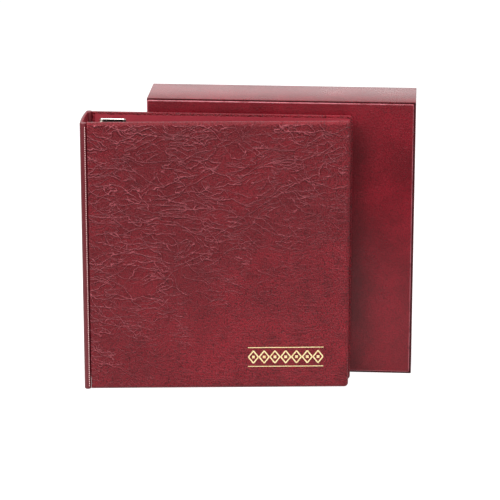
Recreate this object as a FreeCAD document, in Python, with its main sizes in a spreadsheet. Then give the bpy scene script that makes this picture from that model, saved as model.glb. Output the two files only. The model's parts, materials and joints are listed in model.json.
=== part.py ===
import FreeCAD, Part
import math
import os
import Sketcher
from FreeCAD import Placement, Rotation, Vector

# Padded ring-binder stamp album standing upright beside its open slipcase.
# Millimetres. X runs along the back cover from the spine to the fore edge, -Y faces the front
# cover, Z is up. The origin is the middle of the back cover's bottom edge, on the table.

doc = FreeCAD.newDocument("stamp_album")
sheet = doc.addObject("Spreadsheet::Sheet", "sizes")
nodes = {}


class Dim:
    """A length or an angle that keeps its value and its spreadsheet expression together."""

    def __init__(self, value, text):
        self.value = float(value)
        self.text = text

    def __add__(self, other):
        other = dim(other)
        return Dim(self.value + other.value, f"({self.text} + {other.text})")

    def __sub__(self, other):
        other = dim(other)
        return Dim(self.value - other.value, f"({self.text} - {other.text})")

    def __mul__(self, other):
        other = dim(other)
        return Dim(self.value * other.value, f"({self.text} * {other.text})")

    def __truediv__(self, other):
        other = dim(other)
        return Dim(self.value / other.value, f"({self.text} / {other.text})")

    def __neg__(self):
        return Dim(-self.value, f"(0 - {self.text})")


def dim(thing):
    return thing if isinstance(thing, Dim) else Dim(thing, str(thing))


def root(thing):
    return Dim(math.sqrt(thing.value), f"sqrt({thing.text})")


def arctangent(thing):
    return Dim(math.degrees(math.atan(thing.value)), f"atan({thing.text})")


def arcsine(thing):
    return Dim(math.degrees(math.asin(thing.value)), f"asin({thing.text})")


def size(alias, value):
    """Write one driving dimension to the next row of the spreadsheet."""
    size.row += 1
    sheet.set(f"A{size.row}", alias)
    sheet.set(f"B{size.row}", str(value))
    sheet.setAlias(f"B{size.row}", alias)
    return Dim(value, f"sizes.{alias}")


size.row = 0
ZERO = dim(0)

# Album case
cover_width = size("cover_width", 305.0)
cover_height = size("cover_height", 317.0)
album_depth = size("album_depth", 62.0)
board_thick = size("board_thick", 2.5)
padding_thick = size("padding_thick", 4.4)
skin_thick = size("skin_thick", 1.0)
lining_thick = size("lining_thick", 0.6)
lining_inset = size("lining_inset", 3.0)
cover_crown = size("cover_crown", 1.2)
corner_round = size("corner_round", 4.5)
edge_round = size("edge_round", 4.0)
roll_radius = size("roll_radius", 3.8)
joint_gap = size("joint_gap", 0.3)
spine_bulge = size("spine_bulge", 1.2)
spine_board_thick = size("spine_board_thick", 1.8)

# Ring mechanism
mechanism_offset = size("mechanism_offset", 29.2)
sheet_gauge = size("sheet_gauge", 0.8)
housing_width = size("housing_width", 36.0)
housing_height = size("housing_height", 8.0)
housing_side = size("housing_side", 3.2)
housing_lip = size("housing_lip", 2.5)
housing_end = size("housing_end", 8.3)
carrier_gauge = size("carrier_gauge", 1.0)
carrier_end = size("carrier_end", 3.5)
carrier_clear = size("carrier_clear", 0.1)
carrier_lift = size("carrier_lift", 0.2)
carrier_centre_gap = size("carrier_centre_gap", 0.3)
carrier_tilt = size("carrier_tilt", 3.0)
ring_count = size("ring_count", 18)
ring_pitch = size("ring_pitch", 15.2)
ring_radius = size("ring_radius", 17.0)
ring_wire = size("ring_wire", 2.6)
ring_axis_height = size("ring_axis_height", 12.5)
ring_tip_angle = size("ring_tip_angle", 0.5)
ring_foot_angle = size("ring_foot_angle", 50.0)
slot_clear = size("slot_clear", 0.8)
rivet_count = size("rivet_count", 3)
rivet_steps = size("rivet_steps", 7)
rivet_radius = size("rivet_radius", 2.2)
rivet_head_radius = size("rivet_head_radius", 4.5)
rivet_head_height = size("rivet_head_height", 1.6)
rivet_clear = size("rivet_clear", 0.1)
washer_radius = size("washer_radius", 5.0)
washer_thick = size("washer_thick", 0.8)
clinch_thick = size("clinch_thick", 0.7)
clinch_overhang = size("clinch_overhang", 1.2)
lever_pivot_inset = size("lever_pivot_inset", 2.5)
lever_pivot_height = size("lever_pivot_height", 4.0)
lever_pin_radius = size("lever_pin_radius", 1.2)
lever_knuckle_radius = size("lever_knuckle_radius", 2.2)
lever_fit = size("lever_fit", 0.05)
lever_gauge = size("lever_gauge", 1.2)
lever_root = size("lever_root", 17.0)
lever_flare = size("lever_flare", 30.0)
lever_neck = size("lever_neck", 4.0)
lever_shoulder = size("lever_shoulder", 11.5)
lever_length = size("lever_length", 18.0)
lever_toe = size("lever_toe", 4.5)
lever_toe_width = size("lever_toe_width", 10.0)
lever_heel = size("lever_heel", 1.5)
lever_lean = size("lever_lean", 30.0)
lever_bead_radius = size("lever_bead_radius", 1.1)
lever_panel_inset = size("lever_panel_inset", 3.5)
lever_panel_depth = size("lever_panel_depth", 0.4)
lever_notch_clear = size("lever_notch_clear", 1.0)

# Leaves
leaf_count = 6
leaf_width = size("leaf_width", 255.0)
leaf_end = size("leaf_end", 14.0)
leaf_margin = size("leaf_margin", 7.0)
leaf_thick = size("leaf_thick", 0.5)
leaf_pitch = size("leaf_pitch", 1.5)
leaf_seat_clear = size("leaf_seat_clear", 1.6)
leaf_hole_radius = size("leaf_hole_radius", 3.25)
leaf_hole_offset = size("leaf_hole_offset", 0.9)
leaf_corner = size("leaf_corner", 4.0)
leaf_rest_clear = size("leaf_rest_clear", 0.6)
strip_count = size("strip_count", 5)
strip_thick = size("strip_thick", 0.2)
strip_gap = size("strip_gap", 5.0)
strip_border = size("strip_border", 12.0)

# Slipcase
case_board_thick = size("case_board_thick", 3.0)
case_covering_thick = size("case_covering_thick", 0.7)
case_lining_thick = size("case_lining_thick", 0.4)
case_height_clear = size("case_height_clear", 2.8)
case_depth_clear = size("case_depth_clear", 1.4)
spine_show = size("spine_show", 1.1)
case_edge_round = size("case_edge_round", 2.0)
case_gap = size("case_gap", 15.0)
case_shift = size("case_shift", 68.0)
doc.recompute()

# Layers and lines that several pieces share
cover_thick = skin_thick + padding_thick + board_thick + lining_thick
half_thick = cover_thick / 2
hinge_x = roll_radius - cover_width / 2
front_axis_y = cover_thick - album_depth
cover_near = roll_radius + joint_gap
cover_far = cover_width - roll_radius
mechanism_x = hinge_x + mechanism_offset
seat_y = -half_thick
ring_span = ring_pitch * (ring_count - 1)
first_ring_z = (cover_height - ring_span) / 2
carrier_length = ring_span + carrier_end * 2
housing_length = carrier_length + housing_end * 2
housing_base_z = (cover_height - housing_length) / 2


def new_body(name):
    body = doc.addObject("PartDesign::Body", name)
    body.AllowCompound = True
    return body


def place(thing, x, y, z, axis=Vector(0, 0, 1), angle=ZERO):
    """Put a piece's own origin at a point of the frame, turned about one axis."""
    thing.Placement = Placement(Vector(x.value, y.value, z.value), Rotation(axis, angle.value))
    thing.setExpression("Placement.Base.x", x.text)
    thing.setExpression("Placement.Base.y", y.text)
    thing.setExpression("Placement.Base.z", z.text)
    if angle is not ZERO:
        thing.setExpression("Placement.Rotation.Angle", angle.text)
    return thing


def origin_feature(body, role):
    return next(thing for thing in body.Origin.OriginFeatures if thing.Role == role)


def sketch_on(body, role, name, lift=ZERO):
    sketch = body.newObject("Sketcher::SketchObject", name)
    sketch.AttachmentSupport = [(origin_feature(body, role), "")]
    sketch.MapMode = "FlatFace"
    if lift is not ZERO:
        sketch.AttachmentOffset = Placement(Vector(0, 0, lift.value), Rotation())
        sketch.setExpression("AttachmentOffset.Base.z", lift.text)
    return sketch


def bind(sketch, constraint, measure):
    index = sketch.addConstraint(constraint)
    sketch.setExpression(f"Constraints[{index}]", measure.text)


def fix_point(sketch, geometry, end, x, y):
    bind(sketch, Sketcher.Constraint("DistanceX", -1, 1, geometry, end, x.value), x)
    bind(sketch, Sketcher.Constraint("DistanceY", -1, 1, geometry, end, y.value), y)


def line_to(sketch, start, end):
    """A straight edge between two points, with its start tied to the sheet."""
    first = Vector(start[0].value, start[1].value, 0)
    last = Vector(end[0].value, end[1].value, 0)
    index = sketch.addGeometry(Part.LineSegment(first, last))
    fix_point(sketch, index, 1, *start)
    return index


def polygon(sketch, points):
    corners = [(dim(x), dim(y)) for x, y in points]
    lines = [line_to(sketch, a, b) for a, b in zip(corners, corners[1:] + corners[:1])]
    for line, following in zip(lines, lines[1:] + lines[:1]):
        sketch.addConstraint(Sketcher.Constraint("Coincident", line, 2, following, 1))


def rectangle(sketch, left, right, low, high):
    polygon(sketch, [(left, low), (right, low), (right, high), (left, high)])


def circle(sketch, x, y, radius):
    x, y = dim(x), dim(y)
    index = sketch.addGeometry(Part.Circle(Vector(x.value, y.value, 0), Vector(0, 0, 1), radius.value))
    fix_point(sketch, index, 3, x, y)
    bind(sketch, Sketcher.Constraint("Radius", index, radius.value), radius)


def arc_between(sketch, start, end, radius):
    """A counter-clockwise arc of under a half circle from start to end."""
    a = Vector(start[0].value, start[1].value, 0)
    b = Vector(end[0].value, end[1].value, 0)
    chord = b - a
    inward = Vector(-chord.y, chord.x, 0).normalize()
    centre = (a + b) / 2 + inward * math.sqrt(radius.value ** 2 - (chord.Length / 2) ** 2)
    first = math.atan2(a.y - centre.y, a.x - centre.x)
    last = math.atan2(b.y - centre.y, b.x - centre.x)
    whole = Part.Circle(centre, Vector(0, 0, 1), radius.value)
    index = sketch.addGeometry(Part.ArcOfCircle(whole, first, last))
    bind(sketch, Sketcher.Constraint("Radius", index, radius.value), radius)
    return index


def pad(body, sketch, length, reverse=False, centred=False):
    feature = body.newObject("PartDesign::Pad", sketch.Name + "_pad")
    feature.Profile = sketch
    feature.setExpression("Length", length.text)
    feature.Reversed = reverse
    feature.Midplane = centred
    doc.recompute()
    return feature


def cut_through(body, sketch):
    """Remove a sketch right through the body, both ways, and make sure that it met material."""
    before = body.Shape.Volume
    feature = body.newObject("PartDesign::Pocket", sketch.Name + "_cut")
    feature.Profile = sketch
    feature.Type = "ThroughAll"
    feature.Midplane = True
    doc.recompute()
    if not body.Shape.Volume < before:
        raise RuntimeError(f"{sketch.Name} cuts nothing")
    return feature


def row_along_z(body, feature, pitch, count):
    pattern = body.newObject("PartDesign::LinearPattern", feature.Name + "_row")
    pattern.Originals = [feature]
    pattern.Direction = (origin_feature(body, "Z_Axis"), [""])
    span = pitch * (count - 1)
    pattern.setExpression("Length", span.text)
    pattern.setExpression("Occurrences", count.text)
    body.Tip = pattern
    doc.recompute()
    return pattern


def fillet(body, base, wanted, radius):
    """Round the edges of the base feature that the wanted test picks out."""
    names = [f"Edge{n}" for n, edge in enumerate(base.Shape.Edges, 1) if wanted(edge)]
    feature = body.newObject("PartDesign::Fillet", base.Name + "_round")
    feature.Base = (base, names)
    feature.setExpression("Radius", radius.text)
    doc.recompute()
    return feature


def runs_along(edge, axis):
    ends = [vertex.Point for vertex in edge.Vertexes]
    return len(ends) == 2 and (ends[1] - ends[0]).cross(axis).Length < 1e-6


def on_y_axis(edge):
    return runs_along(edge, Vector(0, 1, 0))


def boolean(kind, name, base, tool):
    feature = doc.addObject(kind, name)
    feature.Base = base
    feature.Tool = tool
    doc.recompute()
    return feature


def keep(name, thing):
    thing.Label = name
    nodes[name] = thing
    return thing


def plate(name, left, right, front, back, low, high):
    """A plain flat board, square to its own frame."""
    body = new_body(name)
    sketch = sketch_on(body, "XY_Plane", name + "_outline", low)
    rectangle(sketch, left, right, front, back)
    pad(body, sketch, high - low)
    return body


def crowned_panel(name, side, inset):
    """A plate that is flat inside and arched outside, with round corners and a rolled edge."""
    body = new_body(name)
    left, right = cover_near + inset, cover_far - inset
    flat = (half_thick - lining_thick) * -side
    face = (half_thick - inset) * side
    half_span = (right - left) / 2
    arch = (half_span * half_span + cover_crown * cover_crown) / (cover_crown * 2)
    section = sketch_on(body, "XY_Plane", name + "_section", inset)
    inside = line_to(section, (left, flat), (right, flat))
    far_edge = line_to(section, (right, flat), (right, face))
    near_edge = line_to(section, (left, face), (left, flat))
    ends = ((right, face), (left, face)) if side > 0 else ((left, face), (right, face))
    outside = arc_between(section, *ends, arch)
    right_end, left_end = (1, 2) if side > 0 else (2, 1)
    section.addConstraint(Sketcher.Constraint("Coincident", inside, 2, far_edge, 1))
    section.addConstraint(Sketcher.Constraint("Coincident", far_edge, 2, outside, right_end))
    section.addConstraint(Sketcher.Constraint("Coincident", outside, left_end, near_edge, 1))
    section.addConstraint(Sketcher.Constraint("Coincident", near_edge, 2, inside, 1))
    fix_point(section, far_edge, 2, right, face)
    panel = pad(body, section, cover_height - inset * 2)
    cornered = fillet(body, panel, on_y_axis, corner_round - inset)
    outer = max(cornered.Shape.Faces, key=lambda face_: side * face_.CenterOfMass.y)
    rim = [edge.hashCode() for edge in outer.Edges]
    fillet(body, cornered, lambda edge: edge.hashCode() in rim, edge_round - inset)
    return body


def cover_panels(prefix, side, y, lean):
    """The skin, padding, board and lining of one cover, turned about its joint."""
    inner = (half_thick - lining_thick) * -side
    board_face = (half_thick - lining_thick - board_thick) * -side
    lining_face = half_thick * -side
    envelope = crowned_panel(prefix + "_envelope", side, ZERO)
    core = crowned_panel(prefix + "_core", side, skin_thick)
    slab = plate(prefix + "_slab", ZERO, cover_width, inner, board_face, ZERO, cover_height)
    lining = plate(
        prefix + "_lining_sheet",
        cover_near + lining_inset,
        cover_far - lining_inset,
        lining_face,
        inner,
        lining_inset,
        cover_height - lining_inset,
    )
    for body in (envelope, core, slab, lining):
        place(body, hinge_x, y, ZERO, angle=lean)
    skin = boolean("Part::Cut", prefix + "_skin_cut", envelope, core)
    board = boolean("Part::Common", prefix + "_board_common", core, slab)
    padding = boolean("Part::Cut", prefix + "_padding_cut", core, slab)
    return skin, padding, board, lining


# Leaf stack, worked out first because the front cover leans on it
ring_axis_y = seat_y - ring_axis_height
leaf_seat = housing_height + leaf_seat_clear
leaf_heights = [leaf_seat + leaf_pitch * step for step in range(leaf_count)]
stack_front = leaf_heights[-1] + leaf_thick + strip_thick


def hole_reach(leaf_height):
    """How far the ring wire passes a leaf from the ring axis, plus the hole's play."""
    drop = leaf_height + leaf_thick / 2 - ring_axis_height
    return root(ring_radius * ring_radius - drop * drop) + leaf_hole_offset


stack_far = mechanism_offset + hole_reach(leaf_heights[-1]) + leaf_width - leaf_margin
stack_rise = seat_y - stack_front - leaf_rest_clear - front_axis_y
stack_corner = root(stack_far * stack_far + stack_rise * stack_rise)
front_lean = arctangent(stack_rise / stack_far) - arcsine(half_thick / stack_corner)

# Front cover: leather over foam over greyboard, lined inside
front_skin, front_padding, front_board, front_lining = cover_panels("front", -1, front_axis_y, front_lean)
keep("front_skin", front_skin)
keep("front_padding", front_padding)
keep("front_board", front_board)
keep("front_lining", front_lining)

# Back cover: the same lay-up, pierced for the rivets of the ring mechanism
back_skin, back_padding, back_board, back_lining = cover_panels("back", 1, ZERO, ZERO)
rivet_pitch = ring_pitch * rivet_steps
first_rivet_z = (cover_height - rivet_pitch * (rivet_count - 1)) / 2
board_back_y = seat_y + lining_thick + board_thick


def rivet_tool(name, radius, start, depth):
    """Round cutters at every rivet, from a plane behind the seat towards the back."""
    body = new_body(name)
    sketch = sketch_on(body, "XZ_Plane", name + "_circle", -start)
    circle(sketch, 0, 0, radius)
    row_along_z(body, pad(body, sketch, depth, reverse=True), rivet_pitch, rivet_count)
    return place(body, mechanism_x, ZERO, first_rivet_z)


shank_holes = rivet_tool("shank_holes", rivet_radius + rivet_clear, seat_y, lining_thick + board_thick)
clinch_depth = washer_thick + clinch_thick + rivet_clear
clinch_recess = rivet_tool("clinch_recess", washer_radius + rivet_clear, board_back_y, clinch_depth)
keep("back_skin", back_skin)
keep("back_padding", boolean("Part::Cut", "back_padding_pierced", back_padding, clinch_recess))
keep("back_board", boolean("Part::Cut", "back_board_pierced", back_board, shank_holes))
keep("back_lining", boolean("Part::Cut", "back_lining_pierced", back_lining, shank_holes))

# Spine: a slightly bowed wall between two rolled leather joints, which the covers swing on
spine_chord = -front_axis_y
spine_arch = (spine_chord * spine_chord / 4 + spine_bulge * spine_bulge) / (spine_bulge * 2)
spine_centre_x = spine_arch - roll_radius - spine_bulge


def joint_rolls(name, radius):
    rolls = []
    for which, y in (("front", front_axis_y), ("back", ZERO)):
        roll = doc.addObject("Part::Cylinder", f"{which}_{name}")
        roll.setExpression("Radius", radius.text)
        roll.setExpression("Height", cover_height.text)
        rolls.append(place(roll, hinge_x, y, ZERO))
    doc.recompute()
    return rolls


def spine_layer(name, depth, thick, clearance):
    """One bowed layer of the spine wall, ended by the rolls and their clearance."""
    body = new_body(name + "_bow")
    outer_radius = spine_arch - depth
    inner_radius = outer_radius - thick
    half_chord = spine_chord / 2
    outer_x = spine_centre_x - root(outer_radius * outer_radius - half_chord * half_chord)
    inner_x = spine_centre_x - root(inner_radius * inner_radius - half_chord * half_chord)
    back_outer, front_outer = (outer_x, ZERO), (outer_x, front_axis_y)
    back_inner, front_inner = (inner_x, ZERO), (inner_x, front_axis_y)
    section = sketch_on(body, "XY_Plane", name + "_section")
    outside = arc_between(section, back_outer, front_outer, outer_radius)
    front_end = line_to(section, front_outer, front_inner)
    inside = arc_between(section, back_inner, front_inner, inner_radius)
    back_end = line_to(section, back_inner, back_outer)
    section.addConstraint(Sketcher.Constraint("Coincident", outside, 2, front_end, 1))
    section.addConstraint(Sketcher.Constraint("Coincident", front_end, 2, inside, 2))
    section.addConstraint(Sketcher.Constraint("Coincident", inside, 1, back_end, 1))
    section.addConstraint(Sketcher.Constraint("Coincident", back_end, 2, outside, 1))
    fix_point(section, front_end, 2, *front_inner)
    fix_point(section, back_end, 2, *back_outer)
    pad(body, section, cover_height)
    place(body, hinge_x, ZERO, ZERO)
    front_room, back_room = joint_rolls(name + "_room", roll_radius + clearance)
    trimmed = boolean("Part::Cut", name + "_front_cut", body, front_room)
    return boolean("Part::Cut", name + "_back_cut", trimmed, back_room)


front_roll, back_roll = joint_rolls("joint_roll", roll_radius)
keep("front_joint_roll", front_roll)
keep("back_joint_roll", back_roll)
keep("spine_skin", spine_layer("spine_skin", ZERO, skin_thick, ZERO))
keep("spine_board", spine_layer("spine_board", skin_thick, spine_board_thick, joint_gap))
lining_depth = skin_thick + spine_board_thick
keep("spine_lining", spine_layer("spine_lining", lining_depth, lining_thick, joint_gap))

# Ring housing: an arched steel channel whose inturned lips hold the two carrier plates
half_width = housing_width / 2
arch_rise = housing_height - housing_side
arch_radius = (half_width * half_width + arch_rise * arch_rise) / (arch_rise * 2)
arch_drop = arch_radius - housing_height
wall_inner = half_width - sheet_gauge
inner_radius = arch_radius - sheet_gauge
inner_side = root(inner_radius * inner_radius - wall_inner * wall_inner) - arch_drop
lip_inner = half_width - housing_lip
housing = new_body("ring_housing_body")
channel = sketch_on(housing, "XY_Plane", "channel")
right_outline = [
    (half_width, -housing_side),
    (half_width, ZERO),
    (lip_inner, ZERO),
    (lip_inner, -sheet_gauge),
    (wall_inner, -sheet_gauge),
    (wall_inner, -inner_side),
]
left_outline = [(-x, y) for x, y in reversed(right_outline)]


def open_outline(sketch, points):
    lines = [line_to(sketch, a, b) for a, b in zip(points, points[1:])]
    for line, following in zip(lines, lines[1:]):
        sketch.addConstraint(Sketcher.Constraint("Coincident", line, 2, following, 1))
    fix_point(sketch, lines[-1], 2, *points[-1])
    return lines[0], lines[-1]


right_first, right_last = open_outline(channel, right_outline)
left_first, left_last = open_outline(channel, left_outline)
outer_arch = arc_between(channel, left_outline[-1], right_outline[0], arch_radius)
inner_arch = arc_between(channel, left_outline[0], right_outline[-1], inner_radius)
channel.addConstraint(Sketcher.Constraint("Coincident", left_last, 2, outer_arch, 1))
channel.addConstraint(Sketcher.Constraint("Coincident", outer_arch, 2, right_first, 1))
channel.addConstraint(Sketcher.Constraint("Coincident", right_last, 2, inner_arch, 2))
channel.addConstraint(Sketcher.Constraint("Coincident", inner_arch, 1, left_first, 1))
pad(housing, channel, housing_length)

# Slots that let each ring wire out through the shoulders of the arch
wire_radius = ring_wire / 2
slot_width = ring_wire + slot_clear * 2
slot_low = sheet_gauge + carrier_lift + carrier_gauge + slot_clear / 2
shoulder_drop = ring_axis_height - housing_side
slot_reach = root(ring_radius * ring_radius - shoulder_drop * shoulder_drop) - wire_radius - slot_clear
first_slot = first_ring_z - housing_base_z - slot_width / 2
slots = sketch_on(housing, "XY_Plane", "ring_slots", first_slot)
slot_top = housing_height + slot_clear
slot_side = half_width + slot_clear
rectangle(slots, slot_reach, slot_side, -slot_top, -slot_low)
rectangle(slots, -slot_side, -slot_reach, -slot_top, -slot_low)
solid_volume = housing.Shape.Volume
slot_cut = housing.newObject("PartDesign::Pocket", "ring_slots_cut")
slot_cut.Profile = slots
slot_cut.setExpression("Length", slot_width.text)
slot_cut.Reversed = True
doc.recompute()
if not housing.Shape.Volume < solid_volume:
    raise RuntimeError("the ring slots cut nothing")
row_along_z(housing, slot_cut, ring_pitch, ring_count)

# Rivet holes along the crown, lever notches at both ends and the pin holes across them
rivet_hole = sketch_on(housing, "XZ_Plane", "rivet_hole")
circle(rivet_hole, 0, first_rivet_z - housing_base_z, rivet_radius + rivet_clear)
row_along_z(housing, cut_through(housing, rivet_hole), rivet_pitch, rivet_count)
notch_half = lever_root / 2 + lever_notch_clear
notch_depth = lever_pivot_inset + lever_knuckle_radius + lever_toe
top_pivot = housing_length - lever_pivot_inset
notches = sketch_on(housing, "XZ_Plane", "lever_notches")
rectangle(notches, -notch_half, notch_half, -lever_notch_clear, notch_depth)
rectangle(notches, -notch_half, notch_half, housing_length - notch_depth, housing_length + lever_notch_clear)
cut_through(housing, notches)
pin_holes = sketch_on(housing, "YZ_Plane", "pin_holes")
circle(pin_holes, -lever_pivot_height, lever_pivot_inset, lever_pin_radius + lever_fit)
circle(pin_holes, -lever_pivot_height, top_pivot, lever_pin_radius + lever_fit)
cut_through(housing, pin_holes)
keep("ring_housing", place(housing, mechanism_x, seat_y, housing_base_z))

# Lever pins, riveted into the shoulders of the arch
pin_middle = arch_radius - sheet_gauge / 2
pin_drop = lever_pivot_height + arch_drop
pin_length = root(pin_middle * pin_middle - pin_drop * pin_drop) * 2
pins = new_body("lever_pins_body")
pin_ends = sketch_on(pins, "YZ_Plane", "pin_ends")
circle(pin_ends, -lever_pivot_height, lever_pivot_inset, lever_pin_radius)
circle(pin_ends, -lever_pivot_height, top_pivot, lever_pin_radius)
pad(pins, pin_ends, pin_length, centred=True)
keep("lever_pins", place(pins, mechanism_x, seat_y, housing_base_z))

# Rivets with domed heads on the housing, clinched over washers behind the back board
rivet = new_body("mounting_rivets_body")
outline = sketch_on(rivet, "XY_Plane", "rivet_outline")
shank_end = lining_thick + board_thick + washer_thick
head_top = -(housing_height + rivet_head_height)
head_edge = -(housing_height + rivet_head_height / 3)
head_flat = rivet_head_radius / 2
polygon(
    outline,
    [
        (ZERO, head_top),
        (head_flat, head_top),
        (rivet_head_radius, head_edge),
        (rivet_head_radius, -housing_height),
        (rivet_radius, -housing_height),
        (rivet_radius, shank_end),
        (rivet_radius + clinch_overhang, shank_end),
        (rivet_radius + clinch_overhang, shank_end + clinch_thick),
        (ZERO, shank_end + clinch_thick),
    ],
)
turned = rivet.newObject("PartDesign::Revolution", "rivet_turned")
turned.Profile = outline
turned.ReferenceAxis = (outline, ["V_Axis"])
turned.Angle = 360
doc.recompute()
row_along_z(rivet, turned, rivet_pitch, rivet_count)
keep("mounting_rivets", place(rivet, mechanism_x, seat_y, first_rivet_z))
washers = new_body("rivet_washers_body")
washer_ring = sketch_on(washers, "XZ_Plane", "washer_ring", -board_back_y)
circle(washer_ring, 0, 0, washer_radius)
circle(washer_ring, 0, 0, rivet_radius + rivet_clear)
row_along_z(washers, pad(washers, washer_ring, washer_thick, reverse=True), rivet_pitch, rivet_count)
keep("rivet_washers", place(washers, mechanism_x, ZERO, first_rivet_z))

# Carrier plates and their half rings: each plate rocks on its rounded outer edge in a lip
pivot_reach = wall_inner - carrier_clear - carrier_gauge / 2
pivot_height = sheet_gauge + carrier_lift + carrier_gauge / 2
carrier_reach = pivot_reach - carrier_centre_gap / 2
half_gauge = carrier_gauge / 2
carrier_base_z = (cover_height - carrier_length) / 2
ring_sweep = ring_foot_angle + 90 - ring_tip_angle


def carrier_set(prefix, side):
    """One plate with its row of half rings, closed: the inner edge dips towards the board."""
    pivot_x = mechanism_x + pivot_reach * side
    inner = carrier_reach * -side
    body = new_body(prefix + "_carrier_body")
    section = sketch_on(body, "XY_Plane", prefix + "_carrier_section")
    low, high = (ZERO, -half_gauge), (ZERO, half_gauge)
    bottom = line_to(section, low, (inner, -half_gauge))
    edge = line_to(section, (inner, -half_gauge), (inner, half_gauge))
    top = line_to(section, (inner, half_gauge), high)
    nose = section.addGeometry(
        Part.ArcOfCircle(
            Part.Circle(Vector(0, 0, 0), Vector(0, 0, 1), half_gauge.value),
            -math.pi / 2 if side > 0 else math.pi / 2,
            math.pi / 2 if side > 0 else 3 * math.pi / 2,
        )
    )
    low_end, high_end = (1, 2) if side > 0 else (2, 1)
    section.addConstraint(Sketcher.Constraint("Coincident", nose, 3, -1, 1))
    section.addConstraint(Sketcher.Constraint("Coincident", bottom, 2, edge, 1))
    section.addConstraint(Sketcher.Constraint("Coincident", edge, 2, top, 1))
    section.addConstraint(Sketcher.Constraint("Coincident", top, 2, nose, high_end))
    section.addConstraint(Sketcher.Constraint("Coincident", bottom, 1, nose, low_end))
    pad(body, section, carrier_length)
    room = sketch_on(body, "XZ_Plane", prefix + "_rivet_room")
    circle(room, pivot_reach * -side, first_rivet_z - carrier_base_z, rivet_radius + slot_clear)
    row_along_z(body, cut_through(body, room), rivet_pitch, rivet_count)
    tilt = carrier_tilt * -side
    place(body, pivot_x, seat_y - pivot_height, carrier_base_z, angle=tilt)
    keep(prefix + "_carrier", body)

    rings = new_body(prefix + "_ring_row")
    wire = sketch_on(rings, "XZ_Plane", prefix + "_ring_wire")
    circle(wire, ring_radius, 0, wire_radius)
    swept = rings.newObject("PartDesign::Revolution", prefix + "_half_ring")
    swept.Profile = wire
    swept.ReferenceAxis = (wire, ["V_Axis"])
    swept.setExpression("Angle", ring_sweep.text)
    doc.recompute()
    row_along_z(rings, swept, ring_pitch, ring_count)
    start = ring_tip_angle - 90 if side > 0 else dim(180) - ring_foot_angle
    place(rings, mechanism_x, ring_axis_y, first_ring_z, angle=start)
    trim = plate(
        prefix + "_foot_trim",
        -pivot_reach,
        pivot_reach,
        -half_gauge,
        ring_radius,
        ZERO,
        carrier_length,
    )
    place(trim, pivot_x, seat_y - pivot_height, carrier_base_z, angle=tilt)
    keep(prefix + "_half_rings", boolean("Part::Cut", prefix + "_ring_feet_cut", rings, trim))


carrier_set("left", -1)
carrier_set("right", 1)


def lever(name):
    """A flared thumb lever: pressed sheet with a rolled tip, a knuckle on its pin and a toe."""
    body = new_body(name + "_body")
    outline = sketch_on(body, "XZ_Plane", name + "_outline")
    half_root, half_flare, half_toe = lever_root / 2, lever_flare / 2, lever_toe_width / 2
    right_side = [
        (half_toe, -lever_toe),
        (half_toe, -lever_heel),
        (half_root, -lever_heel),
        (half_root, lever_neck),
        (half_flare, lever_shoulder),
        (half_flare, lever_length),
    ]
    polygon(outline, right_side + [(-x, z) for x, z in reversed(right_side)])
    blank = pad(body, outline, lever_gauge, centred=True)

    def is_soft_corner(edge):
        return on_y_axis(edge) and edge.CenterOfMass.z > 0

    fillet(body, blank, is_soft_corner, lever_gauge * 2)
    knuckle = sketch_on(body, "YZ_Plane", name + "_knuckle")
    circle(knuckle, 0, 0, lever_knuckle_radius)
    pad(body, knuckle, lever_root, centred=True)
    bead = sketch_on(body, "YZ_Plane", name + "_bead")
    circle(bead, 0, lever_length - lever_bead_radius, lever_bead_radius)
    pad(body, bead, lever_flare - lever_gauge * 4, centred=True)
    panel = sketch_on(body, "XZ_Plane", name + "_panel", lever_gauge / 2 - lever_panel_depth)
    panel_half = half_flare - lever_panel_inset
    panel_high = lever_length - lever_bead_radius * 2 - lever_panel_depth
    narrow_half = half_root - lever_panel_inset
    corners = [
        (narrow_half, lever_neck),
        (panel_half, lever_shoulder),
        (panel_half, panel_high),
    ]
    polygon(panel, corners + [(-x, z) for x, z in reversed(corners)])
    before = body.Shape.Volume
    pressed = body.newObject("PartDesign::Pocket", name + "_panel_cut")
    pressed.Profile = panel
    pressed.setExpression("Length", lever_panel_depth.text)
    pressed.Reversed = True
    doc.recompute()
    if not body.Shape.Volume < before:
        raise RuntimeError("the lever panel cuts nothing")
    bore = sketch_on(body, "YZ_Plane", name + "_bore")
    circle(bore, 0, 0, lever_pin_radius + lever_fit)
    cut_through(body, bore)
    return body


pivot_y = seat_y - lever_pivot_height
top_lever = lever("top_lever")
top_pivot_z = housing_base_z + top_pivot
keep("top_lever", place(top_lever, mechanism_x, pivot_y, top_pivot_z, Vector(1, 0, 0), lever_lean))
bottom_lever = lever("bottom_lever")
turned_over = Rotation(Vector(1, 0, 0), -lever_lean.value) * Rotation(Vector(0, 1, 0), 180)
place(bottom_lever, mechanism_x, pivot_y, housing_base_z + lever_pivot_inset)
bottom_lever.Placement = Placement(bottom_lever.Placement.Base, turned_over)
keep("bottom_lever", bottom_lever)

# Leaves: punched card with clear strips, hung on the right-hand half rings
leaf_height = ring_span + leaf_end * 2
leaf_base_z = (cover_height - leaf_height) / 2
leaf_far = leaf_width - leaf_margin
strip_pitch = (leaf_height - strip_border * 2 + strip_gap) / strip_count


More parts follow.
